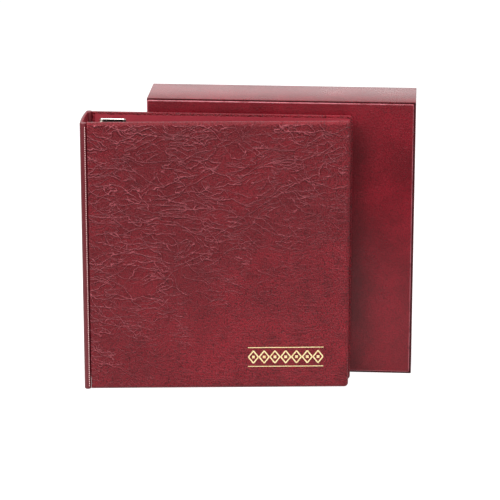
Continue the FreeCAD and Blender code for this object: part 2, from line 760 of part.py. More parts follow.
def leaf(name, height):
    card = new_body(name + "_card_body")
    outline = sketch_on(card, "XZ_Plane", name + "_outline")
    rectangle(outline, -leaf_margin, leaf_far, ZERO, leaf_height)
    sheet_pad = pad(card, outline, leaf_thick)
    fillet(card, sheet_pad, on_y_axis, leaf_corner)
    hole = sketch_on(card, "XZ_Plane", name + "_hole")
    circle(hole, 0, leaf_end, leaf_hole_radius)
    row_along_z(card, cut_through(card, hole), ring_pitch, ring_count)
    strips = new_body(name + "_strips_body")
    strip = sketch_on(strips, "XZ_Plane", name + "_strip", leaf_thick)
    strip_top = strip_border + strip_pitch - strip_gap
    rectangle(strip, strip_border, leaf_far - strip_border, strip_border, strip_top)
    row_along_z(strips, pad(strips, strip, strip_thick), strip_pitch, strip_count)
    for body in (card, strips):
        place(body, mechanism_x + hole_reach(height), seat_y - height, leaf_base_z)
    keep(name + "_card", card)
    keep(name + "_strips", strips)


for number, height in enumerate(reversed(leaf_heights), 1):
    leaf(f"leaf_{number}", height)

# Slipcase: five boards in one covering, lined inside, open at the spine end
case_wall = case_covering_thick + case_board_thick + case_lining_thick
case_width = cover_width - spine_show + case_wall
case_depth = album_depth + cover_crown * 2 + case_depth_clear + case_wall * 2
case_height = cover_height + case_height_clear + case_wall * 2
case_x = case_shift - cover_width / 2
case_y = half_thick + cover_crown + case_gap
skin_in = case_covering_thick
board_in = case_covering_thick + case_board_thick
far_board = case_width - board_in
far_skin = case_width - skin_in


def case_block(name, inset, mouth):
    """The space inside the slipcase at one depth into its wall, from the mouth to the end."""
    return plate(
        name,
        mouth,
        case_width - inset,
        inset,
        case_depth - inset,
        inset,
        case_height - inset,
    )


case_boards = {
    "front": (ZERO, far_skin, skin_in, board_in, skin_in, case_height - skin_in),
    "back": (ZERO, far_skin, case_depth - board_in, case_depth - skin_in, skin_in, case_height - skin_in),
    "top": (ZERO, far_skin, board_in, case_depth - board_in, case_height - board_in, case_height - skin_in),
    "bottom": (ZERO, far_skin, board_in, case_depth - board_in, skin_in, board_in),
    "end": (far_board, far_skin, board_in, case_depth - board_in, board_in, case_height - board_in),
}
for which, extent in case_boards.items():
    board = plate(f"case_{which}_board_body", *extent)
    keep(f"case_{which}_board", place(board, case_x, case_y, ZERO))
case_envelope = case_block("case_envelope", ZERO, ZERO)


def is_outer_edge(edge):
    return edge.CenterOfMass.x > 0


fillet(case_envelope, case_envelope.Tip, is_outer_edge, case_edge_round)
overrun = -case_board_thick
boards_room = case_block("case_boards_room", skin_in, overrun)
lining_block = case_block("case_lining_block", board_in, ZERO)
album_room = case_block("case_album_room", case_wall, overrun)
for body in (case_envelope, boards_room, lining_block, album_room):
    place(body, case_x, case_y, ZERO)
keep("case_covering", boolean("Part::Cut", "case_covering_cut", case_envelope, boards_room))
keep("case_lining", boolean("Part::Cut", "case_lining_cut", lining_block, album_room))

doc.recompute()
for thing in doc.Objects:
    if "Invalid" in thing.State or "Error" in thing.State:
        raise RuntimeError(f"{thing.Name} did not build: {thing.State}")
os.makedirs("parts", exist_ok=True)
for name, thing in nodes.items():
    if thing.Shape.isNull() or not thing.Shape.isValid():
        raise RuntimeError(f"{name} has no valid shape")
for name, thing in nodes.items():
    thing.Shape.exportStep(f"parts/{name}.step")
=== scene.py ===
import json
import math
import bmesh
import bpy
import numpy as np
from mathutils import Matrix, Vector


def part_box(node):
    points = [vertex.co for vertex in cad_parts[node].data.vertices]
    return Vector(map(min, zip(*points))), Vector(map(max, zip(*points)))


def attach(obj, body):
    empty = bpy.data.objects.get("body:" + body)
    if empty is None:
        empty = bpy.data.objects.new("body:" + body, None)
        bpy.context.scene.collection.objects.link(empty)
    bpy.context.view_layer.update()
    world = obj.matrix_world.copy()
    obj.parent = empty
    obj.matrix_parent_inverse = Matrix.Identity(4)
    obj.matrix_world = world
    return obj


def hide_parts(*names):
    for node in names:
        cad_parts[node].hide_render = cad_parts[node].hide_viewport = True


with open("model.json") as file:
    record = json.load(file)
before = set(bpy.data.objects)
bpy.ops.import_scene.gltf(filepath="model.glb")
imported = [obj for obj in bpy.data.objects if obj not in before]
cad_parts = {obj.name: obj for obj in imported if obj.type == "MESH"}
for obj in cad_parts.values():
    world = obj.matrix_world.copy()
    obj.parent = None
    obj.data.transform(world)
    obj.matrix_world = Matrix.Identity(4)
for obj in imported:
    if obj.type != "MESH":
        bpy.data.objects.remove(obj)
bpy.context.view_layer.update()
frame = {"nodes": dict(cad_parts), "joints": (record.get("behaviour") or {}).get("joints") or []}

# Slipcase boards: five greyboards, cut square and glued edge to edge, that stiffen the case.
# The covering hides them. The top, bottom and end boards and the covers' own boards stay as the
# CAD has them, in a mottled grey pulp finish, and the two large ones are remade further down.


class Value:
    """A shader socket that takes part in plain arithmetic by adding Math nodes."""

    def __init__(self, graph, socket):
        self.graph = graph
        self.socket = socket

    def math(self, operation, *inputs):
        return self.graph.node("ShaderNodeMath", {"operation": operation}, dict(enumerate(inputs)))

    def __add__(self, other):
        return self.math("ADD", self, other)

    def __sub__(self, other):
        return self.math("SUBTRACT", self, other)

    def __rsub__(self, other):
        return self.math("SUBTRACT", other, self)

    def __mul__(self, other):
        return self.math("MULTIPLY", self, other)

    def __truediv__(self, other):
        return self.math("DIVIDE", self, other)

    def __abs__(self):
        return self.math("ABSOLUTE", self)

    def root(self):
        return self.math("SQRT", self)

    def most(self, other):
        return self.math("MAXIMUM", self, other)

    __radd__ = __add__
    __rmul__ = __mul__


class Graph:
    """A shader node tree, with nodes added by type, settings and sockets."""

    def __init__(self, tree):
        self.tree = tree

    def node(self, kind, settings={}, sockets={}, output=0):
        made = self.tree.nodes.new(kind)
        for name, value in settings.items():
            setattr(made, name, value)
        for key, value in sockets.items():
            self.feed(made.inputs[key], value)
        return Value(self, made.outputs[output])

    def feed(self, socket, value):
        if isinstance(value, Value):
            self.tree.links.new(value.socket, socket)
        else:
            socket.default_value = value

    def rays(self, kind):
        return self.node("ShaderNodeLightPath", output=kind)


class Finish(Graph):
    """One material: a Principled shader and the textures that feed it."""

    def __init__(self, name, **constants):
        self.material = bpy.data.materials.new(name)
        self.material.use_nodes = True
        super().__init__(self.material.node_tree)
        self.shader = self.tree.nodes["Principled BSDF"]
        self.wire(**constants)
        self.place = self.node("ShaderNodeTexCoord", output="Object")

    def noise(self, scale, detail=4.0, rough=0.55, place=None, output=0):
        inputs = {"Vector": place or self.place, "Scale": scale, "Detail": detail, "Roughness": rough}
        return self.node("ShaderNodeTexNoise", {}, inputs, output)

    def cells(self, scale, feature="F1", place=None):
        inputs = {"Vector": place or self.place, "Scale": scale}
        settings = {"feature": feature, "voronoi_dimensions": "2D" if place else "3D"}
        return self.node("ShaderNodeTexVoronoi", settings, inputs)

    def stretched(self, scale, turn=(0.0, 0.0, 0.0)):
        return self.node("ShaderNodeMapping", {}, {"Vector": self.place, "Scale": scale, "Rotation": turn})

    def axis(self, letter):
        return self.node("ShaderNodeSeparateXYZ", {}, {0: self.place}, letter)

    def attribute(self, name):
        return self.node("ShaderNodeAttribute", {"attribute_name": name}, output="Fac")

    def between(self, low, high, value):
        """A smooth step of a value from 0 at low to 1 at high."""
        settings = {"interpolation_type": "SMOOTHSTEP"}
        return self.node("ShaderNodeMapRange", settings, {"Value": value, 1: low, 2: high})

    def blend(self, first, second, amount):
        sockets = {"Factor": amount, 6: first, 7: second}
        return self.node("ShaderNodeMix", {"data_type": "RGBA"}, sockets, 2)

    def bump(self, height, distance, strength=1.0):
        sockets = {"Height": height, "Distance": distance, "Strength": strength}
        return self.node("ShaderNodeBump", {}, sockets)

    def wire(self, **sockets):
        for name, value in sockets.items():
            self.feed(self.shader.inputs[name.replace("_", " ")], value)
        return self.material


def paint(*levels, alpha=1.0):
    """A linear colour from the 0 to 255 levels read on a screen."""
    shares = [level / 255 for level in levels]
    linear = [c / 12.92 if c <= 0.04045 else ((c + 0.055) / 1.055) ** 2.4 for c in shares]
    return (*linear, alpha)


def dress(material, *names):
    """Give CAD nodes that stay a finish."""
    for name in names:
        piece = frame["nodes"][name]
        piece.data.materials.clear()
        piece.data.materials.append(material)


pulp = Finish("grey_pulp_board", Roughness=0.92)
flecks = pulp.noise(900.0, 6.0, 0.7)
pulp_colour = pulp.blend(paint(128, 120, 110), paint(172, 164, 150), flecks)
pulp.wire(Base_Color=pulp_colour, Normal=pulp.bump(flecks, 0.0002))
case_walls = [f"case_{which}_board" for which in ("top", "bottom", "end")]
dress(pulp.material, *case_walls, "front_board", "back_board")

# Slipcase covering: fine-grained burgundy leathercloth drawn over the boards and turned in at
# the mouth. The two large panels lie on the box as separate faces: a narrow groove, dark with
# painted shade, runs round them, and a painted highlight lies pale along their bevelled edges.


def smooth(mesh, sharp=40.0):
    mesh.shade_smooth()
    mesh.set_sharp_from_angle(angle=math.radians(sharp))


def new_piece(name, points, faces, material, sharp=40.0):
    """A finished object at the origin, from points in metres, smooth below the sharp angle."""
    mesh = bpy.data.meshes.new(name)
    mesh.from_pydata(points, [], faces)
    data = bmesh.new()
    data.from_mesh(mesh)
    bmesh.ops.recalc_face_normals(data, faces=data.faces)
    data.to_mesh(mesh)
    data.free()
    mesh.materials.append(material)
    smooth(mesh, sharp)
    piece = bpy.data.objects.new(name, mesh)
    bpy.context.collection.objects.link(piece)
    return piece


def bake(piece):
    """Turn a piece with live modifiers into a plain mesh."""
    solid = piece.evaluated_get(bpy.context.evaluated_depsgraph_get())
    mesh = bpy.data.meshes.new_from_object(solid)
    piece.modifiers.clear()
    piece.data = mesh
    return piece


def box_corners(low, high):
    return [(x, y, z) for x in (low.x, high.x) for y in (low.y, high.y) for z in (low.z, high.z)]


def rounded(piece, width, steps, cloth=0.0):
    """Round the sharp edges, and give an open skin the thickness of its cloth."""
    edge = piece.modifiers.new("edge", "BEVEL")
    edge.width = width
    edge.segments = steps
    if cloth:
        wall = piece.modifiers.new("cloth", "SOLIDIFY")
        wall.thickness = cloth
        wall.offset = -1.0
    bake(piece)
    smooth(piece.data)
    return piece


case_red = Finish("case_leathercloth", Specular_IOR_Level=0.28)
grain = case_red.cells(620.0)
weave = case_red.noise(900.0, 3.0)
cloud = case_red.noise(17.0, 6.0, 0.62)
streak = case_red.noise(1.0, 4.0, 0.6, case_red.stretched((120.0, 160.0, 520.0)))
case_tone = case_red.blend(paint(94, 10, 21), paint(132, 20, 35), case_red.between(0.26, 0.78, cloud))
case_tone = case_red.blend(case_tone, paint(76, 10, 18), case_red.between(0.35, 0.9, grain) * 0.6)
case_tone = case_red.blend(case_tone, paint(160, 62, 74), case_red.between(0.6, 0.78, streak) * 0.3)
# Painted highlight: a pale pink band along each panel's bevel, broken up by noise.
bevel_highlight_mask = case_red.attribute("bevel_sheen") * case_red.between(0.2, 0.6, case_red.noise(70.0, 4.0))
case_tone = case_red.blend(case_tone, paint(196, 112, 122), bevel_highlight_mask * 0.8)
case_height = grain * 0.8 + weave * 0.6 + streak * 0.6
case_red.wire(
    Base_Color=case_tone,
    Roughness=0.22 + case_red.noise(14.0, 4.0) * 0.14,
    Normal=case_red.bump(case_height, 0.00022, 0.6),
)
# Groove finish: a near-black red that paints in the shade of the groove round the panels.
groove_shade = Finish("case_groove_painted_shade", Roughness=0.7, Specular_IOR_Level=0.15)
groove_shade.wire(Base_Color=groove_shade.blend(paint(46, 6, 11), paint(64, 10, 17), groove_shade.noise(300.0)))

case_low, case_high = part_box("case_covering")
lined_low, lined_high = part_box("case_lining")
panel_proud = 0.0015
panel_inset = 0.0021
panel_deep = 0.0042
rim_over = 0.0003
lip_deep = 0.004
fold_round = 0.0009
cloth_thick = 0.0004
groove_near = 0.001
groove_facing = 0.9
BOX_SIDES = [(0, 1, 3, 2), (4, 6, 7, 5), (0, 4, 5, 1), (2, 3, 7, 6), (0, 2, 6, 4), (1, 5, 7, 3)]


def case_panel(name, front):
    """One large face of the case: a thin board with a rolled edge, graded for a painted highlight along it.
    """
    low, high = case_low.copy(), case_high.copy()
    low.z += panel_inset
    high.z -= panel_inset
    high.x -= panel_inset
    if front:
        high.y = low.y + panel_deep
    else:
        low.y = high.y - panel_deep
    panel = new_piece(name, box_corners(low, high), BOX_SIDES, case_red.material)
    rounded(panel, panel_proud, steps=4)
    # Grade for the painted highlight: 1 along the middle of the bevel, falling to 0 on the flat faces.
    bevel_sheen = panel.data.attributes.new("bevel_sheen", "FLOAT", "POINT")
    for vertex, grade in zip(panel.data.vertices, bevel_sheen.data):
        spot = vertex.co
        deep = spot.y - low.y if front else high.y - spot.y
        inside = min(spot.z - low.z, high.z - spot.z, high.x - spot.x, spot.x - low.x)
        grade.value = max(0.0, 1 - abs(deep - inside) / panel_proud)
    return panel


def case_box():
    """The box between the panels: five walls, the folded mouth edge and its turned-in lip.

    What shows of the front and back walls round the panels is the groove, dark with painted shade.
    """
    low, high = case_low.copy(), case_high.copy()
    low.y += panel_proud
    high.y -= panel_proud
    low.x -= rim_over
    points = box_corners(low, high)
    faces = BOX_SIDES[1:]
    inner_low, inner_high = lined_low.copy(), lined_high.copy()
    for x in (low.x, low.x + lip_deep):
        points += [(x, y, z) for y in (inner_low.y, inner_high.y) for z in (inner_low.z, inner_high.z)]
    ring = (0, 1, 3, 2)
    for index in range(4):
        near, far = ring[index], ring[(index + 1) % 4]
        faces += [(near, far, far + 8, near + 8), (near + 8, far + 8, far + 12, near + 12)]
    walls = new_piece("case_box_cloth", points, faces, case_red.material)
    rounded(walls, fold_round, steps=3, cloth=cloth_thick)
    # Faces of the front and back walls outside the panels take the painted-shade groove finish.
    walls.data.materials.append(groove_shade.material)
    for side in walls.data.polygons:
        outside = not low.y + groove_near < side.center.y < high.y - groove_near
        side.material_index = int(abs(side.normal.y) > groove_facing and outside)
    return walls


def inner_board(name, front):
    """The board under a large face, set back to leave room for that face and the cloth."""
    low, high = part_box(name)
    if front:
        low.y = case_low.y + panel_proud + cloth_thick
    else:
        high.y = case_high.y - panel_proud - cloth_thick
    board = new_piece(name + "_core", box_corners(low, high), BOX_SIDES, pulp.material)
    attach(board, "slipcase")
    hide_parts(name)


inner_board("case_front_board", True)
inner_board("case_back_board", False)
case_pieces = [case_box(), case_panel("case_front_face", True), case_panel("case_back_face", False)]
for piece in case_pieces:
    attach(piece, "slipcase")
    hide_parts("case_covering")

# Slipcase lining: a plain dark red paper pasted on the inner faces of the boards before the
# box is closed. The CAD sheet stays and gets a soft fibrous finish.
paper = Finish("case_lining_paper", Roughness=0.85)
fibres = paper.noise(700.0, 5.0, 0.65)
paper.wire(
    Base_Color=paper.blend(paint(96, 30, 36), paint(120, 44, 50), fibres),
    Normal=paper.bump(fibres, 0.00008, 0.6),
)
dress(paper.material, "case_lining")

# Padded covers: antique burgundy leather drawn over foam and board, rolled round the edges and
# glued down inside. The hide keeps its natural creases, which stand up as fine, slightly glossier veins,
# closest together on the upper part next to the joint, with painted highlight on their crests and painted
# shade on their flanks.


HASH_X, HASH_Y, HASH_SEED, HASH_MIX = 374761393, 668265263, 974634777, 1274126177
HASH_BITS, HASH_STEPS = 0x7FFFFFFF, 65536


def scatter(ix, iy, seed):
    """A repeatable number from 0 to 1 for a lattice cell."""
    mixed = (ix * HASH_X + iy * HASH_Y + seed * HASH_SEED) & HASH_BITS
    mixed = ((mixed ^ (mixed >> 13)) * HASH_MIX) & HASH_BITS
    return ((mixed ^ (mixed >> 16)) % HASH_STEPS) / HASH_STEPS


def lattice_noise(x, y, seed):
    """Smooth gradient noise from hashed lattice slopes, about -0.7 to 0.7."""
    cell_x, cell_y = np.floor(x).astype(np.int64), np.floor(y).astype(np.int64)
    fx, fy = x - cell_x, y - cell_y

    def slope(ix, iy, dx, dy):
        angle = scatter(ix, iy, seed) * (2 * np.pi)
        return np.cos(angle) * dx + np.sin(angle) * dy

    u = fx * fx * fx * (fx * (fx * 6 - 15) + 10)
    v = fy * fy * fy * (fy * (fy * 6 - 15) + 10)
    low = slope(cell_x, cell_y, fx, fy) * (1 - u) + slope(cell_x + 1, cell_y, fx - 1, fy) * u
    high = slope(cell_x, cell_y + 1, fx, fy - 1) * (1 - u)
    high += slope(cell_x + 1, cell_y + 1, fx - 1, fy - 1) * u
    return low * (1 - v) + high * v


def plate_edge(x, y, seed):
    """Distance, in cells, from the nearest border of irregular plates."""
    cell_x, cell_y = np.floor(x).astype(np.int64), np.floor(y).astype(np.int64)
    nearest = np.full(x.shape, 9.0)
    second = np.full(x.shape, 9.0)
    for step_x in (-1, 0, 1):
        for step_y in (-1, 0, 1):
            ix, iy = cell_x + step_x, cell_y + step_y
            dx = ix + scatter(ix, iy, seed) - x
            dy = iy + scatter(ix, iy, seed + 71) - y
            reach = np.hypot(dx, dy)
            second = np.where(reach < nearest, nearest, np.minimum(second, reach))
            nearest = np.minimum(nearest, reach)
    return second - nearest


def vein(x, y, seed, sharp):
    """Thin raised lines along the zero crossings of a noise."""
    return np.clip(1 - np.abs(lattice_noise(x, y, seed)) * sharp, 0, 1) ** 1.5


def ramp(low, high, value):
    """A smooth step of an array from 0 at low to 1 at high."""
    part = np.clip((value - low) / (high - low), 0, 1)
    return part * part * (3 - 2 * part)


def stroke(x, z, route, wide):
    """A tapered crease along a few points."""
    found = np.zeros(x.shape)
    for (ax, az), (bx, bz) in zip(route, route[1:]):
        run_x, run_z = bx - ax, bz - az
        along = np.clip(((x - ax) * run_x + (z - az) * run_z) / (run_x**2 + run_z**2), 0, 1)
        away = np.hypot(x - ax - along * run_x, z - az - along * run_z)
        found = np.maximum(found, np.exp(-((away / wide) ** 2)))
    return found


LONG_CREASES = [
    ((4, 217), (30, 205), (62, 189), (120, 181), (205, 176)),
    ((60, 189), (98, 198), (140, 196)),
    ((128, 166), (180, 164), (238, 161)),
    ((120, 160), (176, 158), (226, 154)),
    ((140, 171), (200, 170), (232, 167)),
    ((3, 80), (40, 76), (96, 70)),
    ((6, 68), (60, 66), (90, 61)),
    ((5, 283), (60, 293), (128, 303)),
    ((4, 272), (70, 286), (150, 296)),
    ((22, 262), (86, 274), (190, 282)),
    ((10, 250), (40, 240), (70, 222)),
    ((84, 300), (108, 262), (118, 222)),
    ((150, 300), (160, 262), (196, 232)),
    ((30, 150), (90, 146), (150, 139)),
]


def hide_creases(x, z, seed, routes):
    """Crease height, 0 to about 1, over a cover, with x from the joint and z up, in mm."""
    wx = x + 7 * lattice_noise(x / 44, z / 44, seed + 1) + 3.4 * lattice_noise(x / 13, z / 13, seed + 2)
    wz = z + 7 * lattice_noise(x / 44, z / 44, seed + 3) + 3.4 * lattice_noise(x / 13, z / 13, seed + 4)
    leant = wz - 0.12 * wx
    upper = ramp(20, 260, z - 0.45 * x + 70)
    patchy = ramp(-0.25, 0.35, lattice_noise(x / 38, z / 30, seed + 5))
    sparse = ramp(-0.1, 0.4, lattice_noise(x / 21, z / 15, seed + 6))
    plates = np.clip(1 - plate_edge(wx / 19, leant / 11, seed + 7) / 0.13, 0, 1)
    small = np.clip(1 - plate_edge(wx / 8.5, leant / 5.2, seed + 8) / 0.2, 0, 1)
    folds = vein(wx / 85, leant / 10, seed + 9, 5.5)
    hairs = vein(wx / 34, leant / 5, seed + 10, 4.0)
    found = (0.25 + 0.75 * upper) * (0.62 * plates * patchy + 0.42 * small * sparse)
    found += 0.5 * folds * (0.3 + 0.7 * upper) * sparse + 0.34 * hairs * patchy * (0.35 + 0.65 * upper)
    for route in routes:
        found += 0.5 * stroke(wx, wz, route, 0.95) * (0.45 + 0.55 * patchy)
    return np.clip(found, 0, 1.2)


JOINT_ROLL, EDGE_ROLL, CORNER, CROWN, INNER_ROLL, TURN_IN = 1.3, 4.8, 4.6, 1.2, 0.9, 0.05
ROLL_STEPS = 8


def edge_lines(length, first_roll, last_roll, step):
    """Grid lines from edge to edge: closer together where the leather rolls over."""
    share = [1 - math.cos(k / ROLL_STEPS * math.pi / 2) for k in range(ROLL_STEPS + 1)]
    inside = np.linspace(first_roll, length - last_roll, int(length / step))[1:-1]
    near, far = [first_roll * t for t in share], [length - last_roll * t for t in share[::-1]]
    return np.array(near + list(inside) + far)


def outline_reach(x, z, width, height):
    """Distance inside the three rolled edges, with round corners at the fore edge."""
    qx = np.maximum(x - (width - CORNER), 0)
    qz = np.abs(z - height / 2) - (height / 2 - CORNER)
    beside = np.hypot(qx, np.maximum(qz, 0)) + np.minimum(np.maximum(x - (width - CORNER), qz), 0)
    return np.clip(CORNER - beside, 0, None)


def drop(reach, roll):
    """How far a rolled edge has fallen at a distance inside the outline."""
    part = np.clip(1 - reach / roll, 0, 1)
    return roll - np.sqrt(np.clip(roll * roll * (1 - part * part), 0, None))


def cover_height_at(x, z, width, height, thick, seed, routes):
    """Height of the padded face above the inside of the cover, and the crease there."""
    reach = outline_reach(x, z, width, height)
    fall = np.maximum(drop(reach, EDGE_ROLL), drop(x, JOINT_ROLL))
    arch = CROWN * (1 - (2 * x / width - 1) ** 4) * (1 - (2 * z / height - 1) ** 4)
    crease = hide_creases(x, z, seed, routes)
    quilt = 0.4 * lattice_noise(x / 55, z / 55, seed + 20) + 0.16 * lattice_noise(x / 18, z / 18, seed + 21)
    flat = ramp(0, 12, np.minimum(reach, x))
    on_face = np.clip(1 - fall / EDGE_ROLL, 0, 1)
    level = thick - fall + arch + quilt * flat + on_face * (0.5 * crease - 0.15)
    return level, crease


def padded_cover(name, width, height, thick, seed, routes, step, to_frame, material):
    """One cover's leather: a gridded face with rolled, turned-in edges, graded for the finish."""
    xs = edge_lines(width, JOINT_ROLL, EDGE_ROLL, step)
    zs = edge_lines(height, EDGE_ROLL, EDGE_ROLL, step)
    x, z = np.meshgrid(xs, zs, indexing="ij")
    a = np.clip((x - (width - CORNER)) / CORNER, 0, 1)
    b = np.clip((np.abs(z - height / 2) - (height / 2 - CORNER)) / CORNER, 0, 1)
    x = x + (a * np.sqrt(1 - b * b / 2) - a) * CORNER
    z = z + np.sign(z - height / 2) * (b * np.sqrt(1 - a * a / 2) - b) * CORNER
    level, crease = cover_height_at(x, z, width, height, thick, seed, routes)
    rows, columns = x.shape
    index = np.arange(rows * columns).reshape(rows, columns)
    corners = [index[:-1, :-1], index[:-1, 1:], index[1:, 1:], index[1:, :-1]]
    faces = np.stack(corners, -1).reshape(-1, 4).tolist()
    rim = np.concatenate([index[:, 0], index[-1, 1:], index[-2::-1, -1], index[0, -2:0:-1]])
    flat_x, flat_z, flat_level = x.ravel(), z.ravel(), level.ravel()
    points = [to_frame(*p) for p in zip(flat_x, flat_z, flat_level)]
    rim_x, rim_z, rim_level = flat_x[rim], flat_z[rim], flat_level[rim]
    away_x = np.where(rim_x < JOINT_ROLL, -1.0, np.maximum(rim_x - (width - CORNER), 0) / CORNER)
    past_corner = np.abs(rim_z - height / 2) - (height / 2 - CORNER)
    away_z = np.clip((rim_z - height / 2) / CORNER, -1, 1) * (past_corner > 0)
    away_z = np.where(rim_x < JOINT_ROLL, 0, away_z * past_corner / CORNER)
    inner = np.minimum(INNER_ROLL, rim_level)
    upper = rim.tolist()
    for turn in (0, 30, 60, 90):
        inset = inner * (1 - math.cos(math.radians(turn)))
        low = inner * (1 - math.sin(math.radians(turn))) - TURN_IN
        first = len(points)
        points += [to_frame(*p) for p in zip(rim_x - away_x * inset, rim_z - away_z * inset, low)]
        lower = list(range(first, first + len(upper)))
        following = lower[1:] + lower[:1]
        faces += [list(f) for f in zip(upper, upper[1:] + upper[:1], following, lower)]
        upper = lower
    faces.append(upper)
    piece = new_piece(name, points, faces, material, sharp=50.0)
    grades = {
        "crease": crease,
        "worn": ramp(-20, 290, z - 0.75 * x + 115),
        "face": ramp(0.8, 4.0, outline_reach(x, z, width, height)),
    }
    for label, values in grades.items():
        spread = np.zeros(len(points), np.float32)
        spread[: rows * columns] = values.ravel()
        piece.data.attributes.new(label, "FLOAT", "POINT").data.foreach_set("value", spread)
    return piece


hide = Finish("antique_leather", Specular_IOR_Level=0.23)
creased = hide.attribute("crease")
worn = hide.attribute("worn")
flat = hide.stretched((1.0, 0.0, 1.0), (math.radians(90), 0.0, 0.0))
bent = flat
for scale, detail, rough, pull in ((24.0, 1.5, 0.5, 0.024), (130.0, 3.0, 0.6, 0.0055)):
    sway = {"Factor": pull, 4: bent, 5: hide.noise(scale, detail, rough, flat, 1)}
    bent = hide.node("ShaderNodeMix", {"data_type": "VECTOR"}, sway, 1)
swell_wide = 2.6


def along(degrees, wide, high, shift=0.0, lift=0.0):
    """Coordinates turned in the plane of the cover, then measured in a mean crease length and gap."""
    turn = (0.0, 0.0, math.radians(degrees))
    moved = hide.node("ShaderNodeMapping", {}, {"Vector": bent, "Location": (shift, lift, 0.0)})
    turned = hide.node("ShaderNodeMapping", {}, {"Vector": moved, "Rotation": turn})
    return hide.node("ShaderNodeMapping", {}, {"Vector": turned, "Scale": (1 / wide, 1 / high, 1.0)})


def somewhere(scale, low, high):
    """Patches of the hide that have one kind of crease."""
    return hide.between(low, high, hide.noise(scale, 3.0, 0.5, flat))


def creases(away, line, where, strength):
    """The thin crest and the wider swell of creases, from the distance to their middle."""
    here = where * broken * strength
    return [(1 - hide.between(0.0, wide, away)) * here for wide in (line, line * swell_wide)]


def plates(degrees, wide, high, line, where, strength):
    """Creases between small plates of the hide."""
    return creases(hide.cells(1.0, "DISTANCE_TO_EDGE", along(degrees, wide, high)), line, where, strength)


def flow(degrees, wide, high, line, where, strength):
    """Long creases of one width, along the middle level of a noise drawn out in one direction."""
    step, tiny = 0.0003, 0.00001
    moves = ((0.0, 0.0), (step, 0.0), (0.0, step))
    here, beside, above = [hide.noise(1.0, 0.7, 0.5, along(degrees, wide, high, *move)) for move in moves]
    slope = (beside - here) * (beside - here) + (above - here) * (above - here)
    away = abs(here - 0.5) * step / (slope.root() + tiny)
    return creases(away, line, where, strength)


patch = hide.noise(8.0, 6.0, 0.62, flat)
mottle = hide.noise(60.0, 5.0, 0.65, flat)
broken = somewhere(60.0, 0.26, 0.50)
rows = [
    flow(-9, 0.060, 0.0105, 0.00060, somewhere(17.0, 0.32, 0.54), 1.0),
    flow(24, 0.050, 0.0125, 0.00056, somewhere(22.0, 0.34, 0.56), 0.95),
    flow(-40, 0.045, 0.0130, 0.00056, somewhere(27.0, 0.34, 0.56), 0.95),
    flow(66, 0.040, 0.0160, 0.00046, somewhere(25.0, 0.46, 0.64), 0.6),
    flow(8, 0.030, 0.0075, 0.00048, somewhere(31.0, 0.40, 0.60), 0.75),
    plates(-3, 0.022, 0.0120, 0.030, somewhere(10.0, 0.44, 0.64), 0.6),
    plates(8, 0.0100, 0.0066, 0.045, somewhere(38.0, 0.42, 0.66), 0.5),
]
on_face = hide.attribute("face")
share = (worn * 0.95 + 0.06) * on_face
veins = sum(crest for crest, swell in rows) * share
swells = sum(swell for crest, swell in rows) * share
ripple = flow(-2, 0.030, 0.0046, 0.00050, somewhere(14.0, 0.30, 0.56), 0.9)[1] * (1.1 - worn) * on_face
grit = hide.cells(560.0, "F1", flat)
pores = hide.cells(1100.0)
hide_tone = hide.blend(paint(112, 15, 28), paint(138, 21, 36), hide.between(0.36, 0.66, patch))
hide_tone = hide.blend(hide_tone, paint(84, 14, 22), hide.between(0.44, 0.7, mottle) * 0.55)
hide_tone = hide.blend(hide_tone, paint(56, 9, 15), hide.between(0.3, 0.8, grit) * 0.7)
# Painted highlight: a slightly lighter, pinker red over the raised creases of the mesh.
hide_tone = hide.blend(hide_tone, paint(128, 34, 42), hide.between(0.05, 0.9, creased) * 0.2)
hide_tone = hide.blend(hide_tone, paint(104, 10, 22), worn * 0.4)
# Painted shade: the flanks beside each crest, where the swell reaches wider than the crest, are darkened.
hide_tone = hide.blend(hide_tone, paint(66, 6, 13), hide.between(0.04, 0.5, swells - veins) * 0.5)
# Painted highlight: the swells of the low ripples, strongest towards the lower right, are lightened.
hide_tone = hide.blend(hide_tone, paint(150, 52, 62), ripple * 0.3)
# Painted highlight: a pale pink along the crests of the veins.
hide_tone = hide.blend(hide_tone, paint(200, 98, 108), hide.between(0.05, 0.8, veins) * 0.62)
hide_rough = 0.36 + hide.between(0.3, 0.8, mottle) * 0.14 + hide.noise(900.0, 3.0) * 0.08 - veins * 0.06
hide_skin = pores * 0.3 - grit * 1.3 + hide.noise(380.0, 4.0) * 0.9
hide_skin = hide_skin + swells * 1.3 + veins * 1.1 + ripple * 0.8
hide.wire(Base_Color=hide_tone, Roughness=hide_rough, Normal=hide.bump(hide_skin, 0.0009, 0.8))

joints = {joint["name"]: joint for joint in frame["joints"]}
hinge_back = Vector(joints["spine_hinge"]["pos_m"])
hinge_front = Vector(joints["front_cover_hinge"]["pos_m"])
back_low, back_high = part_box("back_skin")
lining_low, lining_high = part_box("back_lining")
front_lining_low, front_lining_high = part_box("front_lining")
cover_near = back_low.x - hinge_back.x
cover_width = (back_high.x - back_low.x) * 1000
cover_height = (back_high.z - back_low.z) * 1000
inside = (hinge_back.y - lining_high.y) * 1000
padded_thick = inside * 2 + (lining_high.y - lining_low.y) * 1000
lining_run = lining_high.x - lining_low.x
lining_rise = front_lining_high.y - front_lining_low.y
lean = math.asin(lining_rise / lining_run)
# The leaning lining's own thickness is taken out of its rise, a little nearer each time.
for _ in range(4):
    rise = lining_rise - (lining_high.y - lining_low.y) * math.cos(lean)
    lean = math.asin(rise / lining_run)


def to_back(x, z, level):
    """A point of the back cover, from mm along, up and out from its inside."""
    return (back_low.x + x / 1000, hinge_back.y + (level - inside) / 1000, back_low.z + z / 1000)


